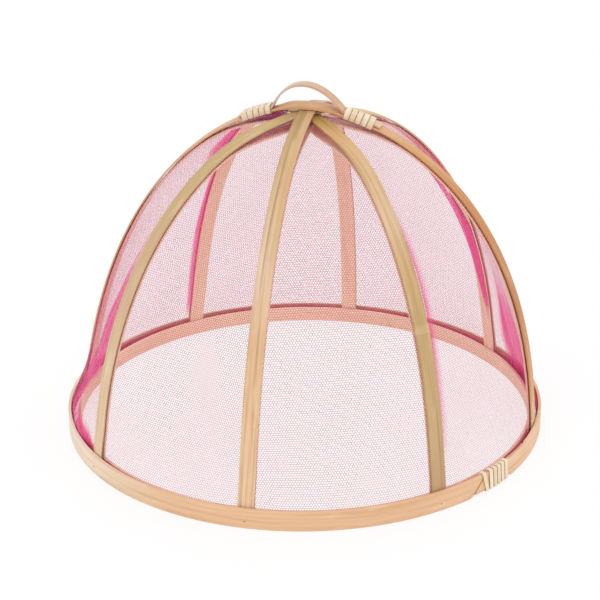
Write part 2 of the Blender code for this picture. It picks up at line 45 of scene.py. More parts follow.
# The dome's own lines, in metres: the same values that the solids were built from
dome = {
    "hoopRadius": 0.180,
    "hoopHeight": 0.0152,
    "hoopThickness": 0.0022,
    "innerHoopHeight": 0.0114,
    "innerHoopThickness": 0.0022,
    "solidFacets": 84,
    "lathWidth": 0.0119,
    "lathThickness": 0.0015,
    "height": 0.2473,
    "footLift": 0.001,
    "footBlend": 0.036,
    "shoulderInset": 0.016,
    "shoulderHeightShare": 0.789,
    "crownRunShare": 0.32,
    "crownLean": 0.0047,
    "crossingReach": 0.080,
    "turnInShare": 0.5,
    "seat": 0.0003,
    "crossingGap": 0.0004,
}
# each rib's foot: its bearing in degrees, and how far its shoulder stands out in hoop radiuses
ribFeet = {
    "left_front": (-148.4, 0.049),
    "centre_front": (-103.55, 0.001),
    "right_front": (-58.1, 0.003),
    "right": (-15.95, 0.066),
    "back_right": (30.9, -0.003),
    "back_centre": (77.4, -0.007),
    "back_left": (121.1, -0.023),
    "left": (166.1, -0.038),
}
# the laths from the top of the crossing down, each with the rib that it starts at
lathOrder = (
    ("side", "right"), ("centre", "centre_front"),
    ("left_diagonal", "left_front"), ("right_diagonal", "right_front"),
)
netThickness = 0.0004

facetSag = dome["hoopRadius"] * (1 - cos(pi / dome["solidFacets"]))
hoopBore = dome["hoopRadius"] - dome["hoopThickness"]
footRadius = sqrt((hoopBore - facetSag - dome["seat"]) ** 2 - (dome["lathWidth"] / 2) ** 2)
crossingStep = dome["lathThickness"] + dome["crossingGap"]
netDepth = dome["lathThickness"] + dome["seat"]
netDrop = (len(lathOrder) - 1) * crossingStep
netMiddle = netDepth + netThickness / 2
innerLathDepth = netDepth + netThickness + dome["seat"]


def smooth(share):
    share = min(max(share, 0), 1)
    return share * share * (3 - 2 * share)


def cubic(share):
    # the weights of a curve's four points
    rest = 1 - share
    return rest**3, 3 * rest**2 * share, 3 * rest * share**2, share**3


def bisect(isShort, low, high, exact):
    # the place up to which isShort holds
    while high - low > exact:
        middle = (low + high) / 2
        if isShort(middle):
            low = middle
        else:
            high = middle
    return low


class Rib:
    # one half of a lath, from the crown to its foot
    def __init__(self, name, foot, crown, shoulder):
        self.name, self.foot, self.crown, self.shoulder = name, foot, crown, shoulder

    def profile(self, share):
        shoulder = footRadius - dome["shoulderInset"] + self.shoulder
        outline = (
            (0, dome["height"]),
            (dome["crownRunShare"] * footRadius, dome["height"]),
            (shoulder, dome["shoulderHeightShare"] * dome["height"]),
            (footRadius, dome["footLift"]),
        )
        rest = 1 - share
        weights = cubic(share)
        slopes = (-(rest**2), rest**2 - 2 * rest * share, 2 * rest * share - share**2, share**2)
        radius, height = (sum(w * point[axis] for w, point in zip(weights, outline)) for axis in (0, 1))
        run, climb = (sum(s * point[axis] for s, point in zip(slopes, outline)) for axis in (0, 1))
        length = hypot(run, climb)
        return radius, height, -climb / length, run / length

    def shareAt(self, radius):
        return bisect(lambda share: self.profile(share)[0] < radius, 0, 1, 1e-7)

    def section(self, share, depth, drop):
        radius, height, out, up = self.profile(share)
        radius -= out * depth
        height -= up * depth
        height -= drop * (1 - smooth((radius - plateau) / (dome["crossingReach"] - plateau)))
        foot = footRadius - depth
        radius = foot - (foot - radius) * smooth(height / dome["footBlend"])
        return radius, height

    def place(self, radius, across, height):
        turned = smooth(radius / (dome["turnInShare"] * dome["hoopRadius"]))
        bearing = self.crown + (self.foot - self.crown) * turned
        lean = dome["crownLean"] * height / dome["height"] * smooth(height / dome["footBlend"])
        x = radius * cos(bearing) - across * sin(bearing) + lean
        y = radius * sin(bearing) + across * cos(bearing)
        return Vector((x, y, height))

    def point(self, share, across=0, depth=0, drop=0):
        radius, height = self.section(share, depth, drop)
        return self.place(radius, across, height)


def makeRibs():
    feet = [foot for foot, _ in ribFeet.values()]
    half = len(feet) // 2
    ribs = []
    for index, (name, (foot, shoulder)) in enumerate(ribFeet.items()):
        first = index % half
        crown = (feet[first] + feet[first + half] - 180) / 2 + 180 * (index // half)
        ribs.append(Rib(name, radians(foot), radians(crown), shoulder * dome["hoopRadius"]))
    return ribs


ribs = makeRibs()
ribByName = {rib.name: rib for rib in ribs}
crowns = sorted(rib.crown for rib in ribs)
plateau = dome["lathWidth"] / 2 / sin(min(b - a for a, b in zip(crowns, crowns[1:])) / 2)


def ribAfter(rib, steps=1):
    return ribs[(ribs.index(rib) + steps) % len(ribs)]


def opposite(rib):
    return ribAfter(rib, len(ribs) // 2)


# Shader helpers

class Wire:
    def __init__(self, tree, socket):
        self.tree, self.socket = tree, socket

    def node(self, kind, settings, *values, output=0):
        return addNode(self.tree, kind, settings, *values, output=output)

    def math(self, operation, *values):
        return self.node("ShaderNodeMath", {"operation": operation}, *values)

    def __add__(self, other):
        return self.math("ADD", self, other)

    def __sub__(self, other):
        return self.math("SUBTRACT", self, other)

    def __rsub__(self, other):
        return self.math("SUBTRACT", other, self)

    def __mul__(self, other):
        return self.math("MULTIPLY", self, other)

    def __truediv__(self, other):
        return self.math("DIVIDE", self, other)

    def __abs__(self):
        return self.math("ABSOLUTE", self)

    def clamp(self):
        return self.node("ShaderNodeClamp", {}, self, 0, 1)

    def span(self, low, high):
        return self.node("ShaderNodeMapRange", {"interpolation_type": "SMOOTHSTEP"}, self, low, high, 0, 1)

    def mix(self, plain, marked):
        # this wire is the factor between two colours
        skipped = (None,) * 5
        return self.node("ShaderNodeMix", {"data_type": "RGBA"}, self, *skipped, plain, marked, output=2)


def addNode(tree, kind, settings, *values, output=0):
    made = tree.nodes.new(kind)
    for name, value in settings.items():
        if name == "stops":
            ramp = made.color_ramp
            while len(ramp.elements) < len(value):
                ramp.elements.new(0.5)
            for element, (place, colour) in zip(ramp.elements, value):
                element.position = place
                element.color = (*colour, 1)
        else:
            setattr(made, name, value)
    for socket, value in zip(made.inputs, values):
        if isinstance(value, Wire):
            tree.links.new(value.socket, socket)
        elif value is not None:
            socket.default_value = (*value, 1) if socket.type == "RGBA" else value
    return Wire(tree, made.outputs[output])


def tint(red, green, blue):
    # a colour as it looks on the screen, 0 to 255, as linear light
    shares = (red / 255, green / 255, blue / 255)
    return tuple(c / 12.92 if c <= 0.0393 else ((c + 0.055) / 1.055) ** 2.4 for c in shares)


def newFinish(name):
    material = bpy.data.materials.new(name)
    material.use_nodes = True
    shader = material.node_tree.nodes["Principled BSDF"]
    return material, material.node_tree, shader


def plug(tree, shader, values, bump=None, bumpDepth=0.0001):
    for name, value in values.items():
        if isinstance(value, Wire):
            tree.links.new(value.socket, shader.inputs[name])
        else:
            shader.inputs[name].default_value = value
    if bump is not None:
        relief = tree.nodes.new("ShaderNodeBump")
        relief.inputs["Strength"].default_value = 1
        relief.inputs["Distance"].default_value = bumpDepth
        tree.links.new(bump.socket, relief.inputs["Height"])
        tree.links.new(relief.outputs["Normal"], shader.inputs["Normal"])


def cloud(tree, scale, detail):
    # noise on the object's own coordinates
    spot = addNode(tree, "ShaderNodeTexCoord", {}, output=3)
    return addNode(tree, "ShaderNodeTexNoise", {}, spot, None, scale, detail)


def alongAndAcross(tree):
    uv = addNode(tree, "ShaderNodeUVMap", {"uv_map": "grain"})
    parts = tree.nodes.new("ShaderNodeSeparateXYZ")
    tree.links.new(uv.socket, parts.inputs[0])
    return Wire(tree, parts.outputs[0]), Wire(tree, parts.outputs[1])


def fibres(tree, along, across, perMetreAlong, perMetreAcross, seed, detail=3):
    spot = addNode(tree, "ShaderNodeCombineXYZ", {}, along * perMetreAlong, across * perMetreAcross, seed)
    noise = tree.nodes.new("ShaderNodeTexNoise")
    noise.inputs["Scale"].default_value = 1
    noise.inputs["Detail"].default_value = detail
    noise.inputs["Roughness"].default_value = 0.6
    tree.links.new(spot.socket, noise.inputs["Vector"])
    return Wire(tree, noise.outputs[0])


# how many fibres or flecks to the metre, along and across the strip
bambooGrain = {"broad": (9, 420), "fine": (55, 3200), "patch": (28, 130), "speck": (420, 900)}
bambooSkin = {
    "rough": 0.42, "roughRange": 0.22, "coat": 0.12, "coatRough": 0.3, "gloss": 0.4, "relief": 0.00012,
}
bambooNode = {
    "line": (0.0003, 0.0013), "lineDepth": 0.16,
    "halo": (0.001, 0.006), "haloAside": 0.003, "haloDepth": 0.2,
}


def bambooFinish(name, look):
    # split bamboo: colour along the strip, long fibres, darker nodes, and a waxy skin
    material, tree, shader = newFinish(name)
    along, across = alongAndAcross(tree)
    share = along / look["length"]
    dark, pale, stain = (tint(*look[key]) for key in ("dark", "pale", "stain"))
    stops = [(place, tint(*colour)) for place, *colour in look["stops"]]
    base = addNode(tree, "ShaderNodeValToRGB", {"stops": stops}, share)
    seed = look["seed"]
    broad = fibres(tree, along, across, *bambooGrain["broad"], seed)
    fine = fibres(tree, along, across, *bambooGrain["fine"], seed + 3.1, 2)
    patch = fibres(tree, along, across, *bambooGrain["patch"], seed + 7.7)
    speck = fibres(tree, along, across, *bambooGrain["speck"], seed + 11, 1)
    colour = (broad.span(0.42, 0.68) * look["streak"]).mix(base, dark)
    colour = (fine.span(0.5, 0.75) * 0.28).mix(colour, dark)
    colour = (patch.span(0.52, 0.72) * look["bleach"]).mix(colour, pale)
    colour = (speck.span(0.74, 0.8) * look["specks"]).mix(colour, stain)
    if "band" in look:
        # towards the crown one edge is paler, beside a dark vein
        band = look["band"]
        upper = share.span(band["from"] - 0.06, band["from"] + 0.06)
        waver = across + broad * 0.002 - 0.001
        paler = waver.span(band["edge"] - 0.0005, band["edge"] + 0.0005)
        colour = (paler * upper * 0.8).mix(colour, tint(*band["colour"]))
        vein = 1 - abs(waver - band["vein"]).span(0, band["veinWidth"])
        colour = (vein * upper * 0.5).mix(colour, dark)
    bump = fine * 0.5 + broad * 0.5
    for place in look.get("nodes", ()):
        line = 1 - abs(along - place).span(*bambooNode["line"])
        colour = (line * bambooNode["lineDepth"]).mix(colour, stain)
        halo = 1 - abs(along - place - bambooNode["haloAside"]).span(*bambooNode["halo"])
        colour = (halo * bambooNode["haloDepth"]).mix(colour, pale)
        bump = bump - line * 0.4
    values = {
        "Base Color": colour, "Roughness": fine * bambooSkin["roughRange"] + bambooSkin["rough"],
        "Coat Weight": look.get("coat", bambooSkin["coat"]), "Coat Roughness": bambooSkin["coatRough"],
        "Specular IOR Level": bambooSkin["gloss"],
    }
    plug(tree, shader, values, bump, bambooSkin["relief"])
    return material


def gridShell(rows, place, around):
    # a grid laid on rows of points, its UV from place(station, step); around is how many steps one row takes
    stations = len(rows)
    shell = bmesh.new()
    layer = shell.loops.layers.uv.new("grain")
    bmesh.ops.create_grid(shell, x_segments=stations - 1, y_segments=around, size=1)
    spots = {}
    for vert in shell.verts:
        station = round((vert.co.x + 1) / 2 * (stations - 1))
        step = round((vert.co.y + 1) / 2 * around)
        spots[vert] = place(station, step)
        vert.co = rows[station][step % len(rows[0])]
    for face in shell.faces:
        for loop in face.loops:
            loop[layer].uv = spots[loop.vert]
    return shell


def sweep(name, rings, lengths, material, crease=40):
    # a closed strip: a grid is laid on the rings, its long seam is merged and its ends are filled
    middle = rings[len(rings) // 2]
    girth = travelled(middle + middle[:1])
    shell = gridShell(rings, lambda station, turn: (lengths[station], girth[turn]), len(middle))
    bmesh.ops.remove_doubles(shell, verts=shell.verts, dist=1e-8)
    bmesh.ops.holes_fill(shell, edges=[edge for edge in shell.edges if edge.is_boundary], sides=0)
    bmesh.ops.recalc_face_normals(shell, faces=shell.faces)
    return finishPiece(name, shell, material, crease)


def newMesh(name, shell):
    mesh = bpy.data.meshes.new(name)
    shell.to_mesh(mesh)
    shell.free()
    return mesh


def newObject(name, data):
    made = bpy.data.objects.new(name, data)
    bpy.context.scene.collection.objects.link(made)
    return made


def dress(mesh, material):
    mesh.materials.clear()
    mesh.materials.append(material)


def newPiece(mesh, material):
    dress(mesh, material)
    piece = newObject(mesh.name, mesh)
    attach(piece, "root")
    return piece


def finishPiece(name, shell, material, crease=40):
    mesh = newMesh(name, shell)
    mesh.shade_smooth()
    mesh.set_sharp_from_angle(angle=radians(crease))
    return newPiece(mesh, material)


def travelled(points):
    lengths = [0]
    for here, after in zip(points, points[1:]):
        lengths.append(lengths[-1] + (after - here).length)
    return lengths


# Camera: the photograph's view, as a frame of 600 by 600

camera = {
    "lens": 120,
    "sensor": 36,
    "frame": 600,
    "distance": 1.540368,
    "elevation": 27.123,
    "roll": 0.0083076,
    "middle": (303.782, 412.070),
}


def setCamera():
    eyepiece = bpy.data.cameras.new("camera")
    eyepiece.lens = camera["lens"]
    eyepiece.sensor_width = camera["sensor"]
    eyepiece.clip_start = 0.05
    eye = newObject("camera", eyepiece)
    focal = camera["lens"] / camera["sensor"] * camera["frame"]
    tilt = radians(camera["elevation"])
    ahead, side, up = Vector((0, cos(tilt), -sin(tilt))), Vector((1, 0, 0)), Vector((0, sin(tilt), cos(tilt)))
    half = camera["frame"] / 2
    pan = Matrix.Rotation(atan2(camera["middle"][0] - half, focal), 3, up)
    ahead, side = pan @ ahead, pan @ side
    pitch = Matrix.Rotation(atan2(camera["middle"][1] - half, focal), 3, side)
    ahead, up = pitch @ ahead, pitch @ up
    roll = Matrix.Rotation(camera["roll"], 3, ahead)
    side, up = roll @ side, roll @ up
    turned = Matrix((side, up, -ahead)).transposed().to_4x4()
    where = Vector((0, -camera["distance"] * cos(tilt), camera["distance"] * sin(tilt)))
    eye.matrix_world = Matrix.Translation(where) @ turned
    bpy.context.scene.camera = eye


setCamera()
print("camera set")

# Light and floor

studio = {
    "world": 0.92,
    "floorSize": 6,
    "floorColour": tint(250, 250, 250),
    "floorGlow": 0.78,
    "lamps": {
        "key": {"place": (-1.1, -1.5, 1.9), "size": 1.6, "power": 9},
        "fill": {"place": (1.6, -1.1, 1.3), "size": 1.8, "power": 6},
        "back": {"place": (0.3, 1.8, 1.7), "size": 1.8, "power": 8},
    },
}


def cameraLike(tree):
    path = tree.nodes.new("ShaderNodeLightPath")
    direct, gloss, through = (
        Wire(tree, path.outputs[name]) for name in ("Is Camera Ray", "Is Glossy Ray", "Is Transmission Ray")
    )
    return (direct + gloss + through).clamp()


def setStudio():
    world = bpy.data.worlds.new("studio")
    bpy.context.scene.world = world
    world.use_nodes = True
    tree = world.node_tree
    back = tree.nodes["Background"]
    back.inputs["Color"].default_value = (1, 1, 1, 1)
    strength = cameraLike(tree) * (1 - studio["world"]) + studio["world"]
    tree.links.new(strength.socket, back.inputs["Strength"])
    for name, lamp in studio["lamps"].items():
        light = bpy.data.lights.new(name, "AREA")
        light.size = lamp["size"]
        light.energy = lamp["power"]
        holder = newObject(name, light)
        holder.location = lamp["place"]
        toward = Vector((0, 0, 0.1)) - Vector(lamp["place"])
        holder.rotation_euler = toward.to_track_quat("-Z", "Y").to_euler()
    shell = bmesh.new()
    bmesh.ops.create_grid(shell, x_segments=1, y_segments=1, size=studio["floorSize"])
    floor = newObject("floor", newMesh("floor", shell))
    material, tree, shader = newFinish("floor")
    plug(tree, shader, {"Base Color": (*studio["floorColour"], 1), "Roughness": 0.9, "Specular IOR Level": 0})
    glow = addNode(tree, "ShaderNodeEmission", {}, (1.0, 1.0, 1.0), 1.0)
    both = addNode(tree, "ShaderNodeMixShader", {}, cameraLike(tree) * studio["floorGlow"], None, glow)
    tree.links.new(shader.outputs[0], both.socket.node.inputs[1])
    tree.links.new(both.socket, tree.nodes["Material Output"].inputs["Surface"])
    dress(floor.data, material)
    bpy.context.scene.view_settings.view_transform = "Standard"


setStudio()
print("floor and lamps set")

# Laths

lathShape = {
    "stations": 110,
    "edge": 0.00035,
    "crownOfSkin": 0.00028,
    "split": 0.0001,
    "nodeRise": 0.00015,
    "nodeReach": 0.0035,
    "swellAbove": 0.03,
    "crownSwell": 0.0022,
    "crownFlat": 0.012,
    "crownReach": 0.0255,
}
# stops: the share of the strip's length and the colour there, as it looks on the screen; seed: its own fibres
lathLooks = {
    "side": {
        "stops": (
            (0.0, 232, 203, 165), (0.06, 218, 166, 110), (0.16, 190, 128, 68), (0.3, 202, 138, 76),
            (0.4, 212, 162, 108), (0.5, 216, 170, 126), (0.72, 226, 178, 130), (0.9, 228, 184, 138),
            (1.0, 230, 200, 165),
        ),
        "dark": (166, 106, 58), "pale": (232, 196, 150), "stain": (112, 70, 42),
        "streak": 0.4, "bleach": 0.3, "specks": 0.6, "seed": 2.0,
    },
    "centre": {
        "stops": (
            (0.0, 231, 195, 158), (0.10, 229, 190, 150), (0.19, 218, 177, 136), (0.27, 226, 195, 166),
            (0.33, 214, 184, 146), (0.41, 200, 164, 116), (0.47, 176, 142, 88), (0.55, 198, 164, 118),
            (0.75, 222, 180, 138), (1.0, 228, 188, 150),
        ),
        "dark": (150, 112, 62), "pale": (238, 212, 170), "stain": (104, 74, 44),
        "streak": 0.42, "bleach": 0.3, "specks": 0.5, "seed": 5.0,
        "band": {
            "edge": 0.0084, "from": 0.27, "colour": (208, 168, 122), "vein": 0.0056, "veinWidth": 0.0011,
        },
    },
    "left_diagonal": {
        "stops": (
            (0.0, 232, 202, 168), (0.1, 222, 190, 154), (0.22, 208, 172, 136), (0.36, 200, 168, 118),
            (0.46, 196, 164, 108), (0.6, 216, 180, 134), (0.8, 226, 186, 146), (1.0, 230, 194, 156),
        ),
        "dark": (160, 138, 82), "pale": (232, 214, 172), "stain": (110, 86, 50),
        "streak": 0.42, "bleach": 0.4, "specks": 0.5, "seed": 8.0,
    },
    "right_diagonal": {
        "stops": (
            (0.0, 186, 150, 112), (0.08, 198, 166, 120), (0.2, 194, 160, 108), (0.26, 204, 166, 116),
            (0.32, 222, 188, 152), (0.39, 214, 176, 132), (0.44, 204, 156, 96), (0.48, 192, 152, 84),
            (0.6, 218, 178, 132), (0.8, 226, 184, 144), (1.0, 230, 192, 154),
        ),
        "dark": (152, 118, 66), "pale": (230, 206, 162), "stain": (100, 72, 42),
        "streak": 0.5, "bleach": 0.3, "specks": 0.6, "seed": 11.0, "nodes": (0.126,),
    },
}
# the inner laths and the inner hoop: a paler bamboo, partly its own tone and partly lightened to make up for
# the shade inside the dome under the net, which is painted light
innerLightenedLook = {
    "stops": ((0.0, 248, 220, 194), (0.3, 250, 219, 192), (0.7, 246, 216, 188), (1.0, 250, 222, 196)),
    "dark": (226, 178, 138), "pale": (250, 228, 200), "stain": (190, 138, 100),
    "streak": 0.35, "bleach": 0.35, "specks": 0.2, "seed": 20.0,
}


def lathSection(width, thickness, edge, crown):
    # across and depth: a slightly rounded skin with eased edges over a flat split face
    half, split = width / 2, lathShape["split"]
    skin = [(half * k / 3, crown * (k / 3) ** 2) for k in range(-2, 3)]
    side = [
        (half - edge, crown * 0.8), (half - edge * 0.3, crown * 0.85 + edge * 0.3), (half, crown + edge),
        (half, thickness * 0.5), (half, thickness - split),
    ]
    face = [(half - split, thickness), (0, thickness), (split - half, thickness)]
    return [(-across, depth) for across, depth in reversed(side)] + skin + side + face


def makeLath(name, first, depth, drop, look):
    near, far = ribByName[first], opposite(ribByName[first])
    count = lathShape["stations"]
    places = [(near, 1, 1 - k / count) for k in range(count)]
    places += [(far, -1, k / count) for k in range(count + 1)]
    lengths = travelled([rib.point(share, 0, depth, drop) for rib, _, share in places])
    section = lathSection(
        dome["lathWidth"], dome["lathThickness"], lathShape["edge"], lathShape["crownOfSkin"],
    )
    rings = []
    for (rib, side, share), length in zip(places, lengths):
        radius, height = rib.section(share, 0, 0)
        swell = 0
        if depth == 0:
            for place in look.get("nodes", ()):
                away = abs(length - place) / lathShape["nodeReach"]
                swell = max(swell, lathShape["nodeRise"] * exp(-away * away))
        if name == "outer_lath_side":
            # the top lath is thicker under the handle's arch
            away = (radius - lathShape["crownFlat"]) / (lathShape["crownReach"] - lathShape["crownFlat"])
            swell += lathShape["crownSwell"] * (1 - smooth(away))
        if height <= lathShape["swellAbove"]:
            swell = 0
        ring = []
        for across, inset in section:
            lift = swell * (1 - inset / dome["lathThickness"])
            ring.append(rib.point(share, side * across, depth + inset - lift, drop))
        rings.append(ring)
    material = bambooFinish(name, {**look, "length": lengths[-1]})
    return sweep(name + "_skin", rings, lengths, material)


for level, (name, first) in enumerate(lathOrder):
    outer = makeLath("outer_lath_" + name, first, 0, level * crossingStep, lathLooks[name])
    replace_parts(outer, "outer_lath_" + name)
    inner = makeLath(
        "inner_lath_" + name, first, innerLathDepth, netDrop + level * crossingStep,
        {**innerLightenedLook, "seed": innerLightenedLook["seed"] + level * 2.3},
    )
    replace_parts(inner, "inner_lath_" + name)
print("laths bent")

# Hoops

hoopShape = {
    "stations": 300,
    "lap": 0.060,
    "tip": 0.0005,
    "ramp": 0.003,
    "ease": 0.0004,
    "outerLap": -46.5,
    "innerLap": 45.0,
    "slant": 0.015,
    "slantReach": 0.028,
    "backFall": 0.0030,
    "probes": 400,
}
# the outer hoop's bamboo along its length; the pale cream stops at 0.6 and 0.66, on its left side, are a
# painted highlight
hoopLookAndHighlight = {
    "stops": (
        (0.0, 232, 194, 154), (0.12, 230, 188, 146), (0.3, 234, 200, 162), (0.45, 230, 192, 152),
        (0.6, 238, 224, 206), (0.66, 236, 218, 196), (0.75, 230, 190, 150), (0.9, 228, 186, 146),
        (1.0, 232, 194, 154),
    ),
    "dark": (196, 142, 96), "pale": (244, 222, 190), "stain": (140, 92, 58),
    "streak": 0.38, "bleach": 0.4, "specks": 0.35, "seed": 31.0, "coat": 0.18,
}
# the inner hoop shares the lightened inner colour, painted light
innerHoopLightenedLook = {**innerLightenedLook, "seed": 41.0}
bindingShape = {
    "strandWidth": 0.0037,
    "strandThickness": 0.0010,
    "handleStrandWidth": 0.0040,
    "handleTurns": 5,
    "handlePitch": 0.0043,
    "handleStart": 0.0290,
    "handleSlant": 0.15,
    "hoopTurns": 6,
    "hoopPitch": 0.0046,
    "hoopDegrees": -44.6,
    "hoopSlant": 0.30,
    "hoopLead": -0.55,
    "notchMargin": 0.0012,
    "notchRamp": 0.0015,
}
notchDepth = bindingShape["strandThickness"] + dome["seat"] + hoopShape["tip"] / 2


def notchEdges():
    start = radians(bindingShape["hoopDegrees"])
    side = bindingShape["strandWidth"] / 2 + bindingShape["notchMargin"]
    first = start + (bindingShape["hoopLead"] * bindingShape["hoopPitch"] - side) / dome["hoopRadius"]
    last = start + (bindingShape["hoopTurns"] * bindingShape["hoopPitch"] + side) / dome["hoopRadius"]
    ramp = bindingShape["notchRamp"] / dome["hoopRadius"]
    return first - ramp, first, last, last + ramp


def backward(bearing):
    # 0 at the front of the hoop, 1 at its back
    return smooth((sin(bearing) + 0.2) / 1.2)


def makeHoop(name, radius, tall, thickness, degrees, look, slant=0, notch=None, fall=0):
    start, full = radians(degrees), 2 * pi
    lap, ramp = hoopShape["lap"] / radius, hoopShape["ramp"] / radius
    bore = radius - thickness
    tip = hoopShape["tip"]
    thin = tip + dome["seat"]
    extra = [start + lap, start + lap + ramp, start + full - ramp, start + full]
    if notch:
        extra += [edge + full * turn for turn in (0, 1) for edge in notch]
    bearings = [start + (full + lap) * k / hoopShape["stations"] for k in range(hoopShape["stations"] + 1)]
    inside = [b for b in extra if start < b < start + full + lap]
    nearly = pi / hoopShape["stations"] / 3
    bearings = sorted([b for b in bearings if min(abs(b - e) for e in inside) > nearly] + inside)
    rings = []
    for bearing in bearings:
        along = bearing - start
        inner, outer = bore, radius
        height = tall - fall * backward(bearing)
        if along <= lap:
            inner = bore + thin + (thickness - thin - tip) * (1 - along / lap)
        elif along < lap + ramp:
            inner = bore + thin * (1 - (along - lap) / ramp)
        if along >= full:
            outer = radius - thin - (thickness - thin - tip) * (along - full) / lap
        elif along > full - ramp:
            outer = radius - thin * (along - full + ramp) / ramp
        cut = slant / radius * (1 - smooth(abs((along + pi) % full - pi) * radius / hoopShape["slantReach"]))
        sole = 0
        if notch:
            past = (bearing - notch[0]) % full
            sole = float(np.interp(past, [edge - notch[0] for edge in notch], (0, notchDepth, notchDepth, 0)))
        ease = min(hoopShape["ease"], (outer - inner) / 3)
        half = ease * 0.3
        outline = (
            (outer, sole + ease), (outer, height * 0.35), (outer, height * 0.65), (outer, height - ease),
            (outer - half, height - half), (outer - ease, height), (inner + half, height),
            (inner, height - half), (inner, height * 0.5), (inner, sole + half), (inner + half, sole),
            (outer - ease, sole), (outer - half, sole + half),
        )
        ring = []
        for reach, level in outline:
            turn = bearing + cut * (level / height - 0.5)
            ring.append(Vector((reach * cos(turn), reach * sin(turn), level)))
        rings.append(ring)
    lengths = [(bearing - start) * radius for bearing in bearings]
    material = bambooFinish(name, {**look, "length": lengths[-1]})
    return sweep(name + "_bent", rings, lengths, material)


def innerHoopRadius():
    # the inner hoop fits inside the inner laths' feet
    depth = innerLathDepth + dome["lathThickness"]
    reach = footRadius
    for rib in ribs:
        for step in range(hoopShape["probes"]):
            radius, height = rib.section(1 - step / hoopShape["probes"], depth, 0)
            if height > dome["innerHoopHeight"]:
                break
            reach = min(reach, radius - abs(rib.place(0, 0, height).x))
    return reach - dome["seat"]


outerHoop = makeHoop(
    "outer_hoop", dome["hoopRadius"], dome["hoopHeight"], dome["hoopThickness"], hoopShape["outerLap"],
    hoopLookAndHighlight, hoopShape["slant"], notchEdges(), hoopShape["backFall"],
)
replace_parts(outerHoop, "outer_hoop")
innerHoop = makeHoop(
    "inner_hoop", innerHoopRadius(), dome["innerHoopHeight"], dome["innerHoopThickness"],
    hoopShape["innerLap"], innerHoopLightenedLook,
)
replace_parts(innerHoop, "inner_hoop")
print("hoops bent")

# Handle

handleShape = {
    "width": 0.0097,
    "thickness": 0.0016,
    "edge": 0.0004,
    "crownOfSkin": 0.0002,
    "spring": 0.0262,
    "rise": 0.0148,
    "bend": 0.0005,
    "crownArm": 0.01685,
    "topAside": 0.0032,
    "footStations": 16,
    "archStations": 40,
    "rightEnd": 0.0535,
    "leftEnd": 0.051,
}
# the handle's colour from its left foot to its right; the pale grey stops at 0.2 and 0.3, on the arch's left
# leg, are a painted highlight
handleLookAndHighlight = {
    "stops": (
        (0.0, 222, 192, 156), (0.2, 222, 204, 192), (0.3, 218, 202, 192), (0.4, 210, 182, 160),
        (0.5, 200, 162, 132), (0.7, 204, 162, 124), (1.0, 222, 190, 152),
    ),
    "dark": (170, 124, 86), "pale": (232, 208, 180), "stain": (130, 90, 60),
    "streak": 0.4, "bleach": 0.4, "specks": 0.2, "seed": 51.0, "coat": 0.2,
}
sideRibs = (opposite(ribByName["right"]), ribByName["right"])


def sidePoint(along, across, height):
    left, right = sideRibs
    if along < 0:
        return left.place(-along, -across, height)
    return right.place(along, across, height)


def handleLine():
    halves = []
    for rib, end, way in zip(sideRibs, (handleShape["leftEnd"], handleShape["rightEnd"]), (1, -1)):
        foot = []
        for step in range(handleShape["footStations"] + 1):
            reach = end + (handleShape["spring"] - end) * step / handleShape["footStations"]
            foot.append(Vector(rib.section(rib.shareAt(reach), -dome["seat"], 0)))
        inward = (foot[-1] - foot[-2]).normalized() * handleShape["bend"]
        top = Vector((way * handleShape["topAside"], dome["height"] + dome["seat"] + handleShape["rise"]))
        arm = Vector((handleShape["crownArm"], 0))
        ends = (foot[-1], foot[-1] + inward, top + arm, top)
        arch = []
        for step in range(1, handleShape["archStations"] + 1):
            weights = cubic(step / handleShape["archStations"])
            arch.append(sum((weight * end for weight, end in zip(weights, ends)), Vector((0, 0))))
        halves.append(foot + arch)
    left = [Vector((-point.x, point.y)) for point in halves[0]]
    return left + halves[1][-2::-1]


def makeHandle():
    line = handleLine()
    section = lathSection(
        handleShape["width"], handleShape["thickness"], handleShape["edge"], handleShape["crownOfSkin"],
    )
    rings = []
    for index, point in enumerate(line):
        heading = (line[min(index + 1, len(line) - 1)] - line[max(index - 1, 0)]).normalized()
        ring = []
        for across, depth in section:
            lift = handleShape["thickness"] - depth
            ring.append(sidePoint(point.x - heading.y * lift, across, point.y + heading.x * lift))
        rings.append(ring)
    lengths = travelled(line)
    material = bambooFinish("handle", {**handleLookAndHighlight, "length": lengths[-1]})
    return sweep("handle_bent", rings, lengths, material)


handle = makeHandle()
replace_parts(handle, "handle")
print("handle bent")

# Bindings of flat cane

caneLook = {
    "stops": ((0.0, 240, 224, 196), (0.35, 236, 216, 184), (0.7, 242, 228, 202), (1.0, 238, 220, 190)),
    "dark": (206, 172, 126), "pale": (250, 240, 220), "stain": (170, 124, 80),
    "streak": 0.45, "bleach": 0.45, "specks": 0.1, "coat": 0.25,
}
handleCaneLook = {
    **caneLook,
    "stops": ((0.0, 232, 212, 184), (0.35, 226, 202, 172), (0.7, 234, 216, 190), (1.0, 230, 208, 180)),
}


def wrapOutline(corners, cornerPoints, stand):
    # the strand's way once round a core, held off its corners, with a point in the middle of each long side
    path = []
    count = len(corners)
    for index in range(count):
        before, here, after = (Vector(corners[(index + k) % count]) for k in (-1, 0, 1))
        angles = [atan2(-edge.x, edge.y) for edge in (here - before, after - here)]
        turn = (angles[1] - angles[0] + pi) % (2 * pi) - pi
        for step in range(cornerPoints[index]):
            angle = angles[0] + turn * step / (cornerPoints[index] - 1)
            normal = Vector((cos(angle), sin(angle)))
            path.append((here + stand * normal, normal))
        if (after - here).length > bindingShape["strandWidth"]:
            path.append(((here + after) / 2 + stand * normal, normal))
    return path


def isMiddle(path, index):
    normal = path[index][1]
    around = (path[index - 1][1], path[(index + 1) % len(path)][1])
    return all((normal - other).length < 1e-6 for other in around)


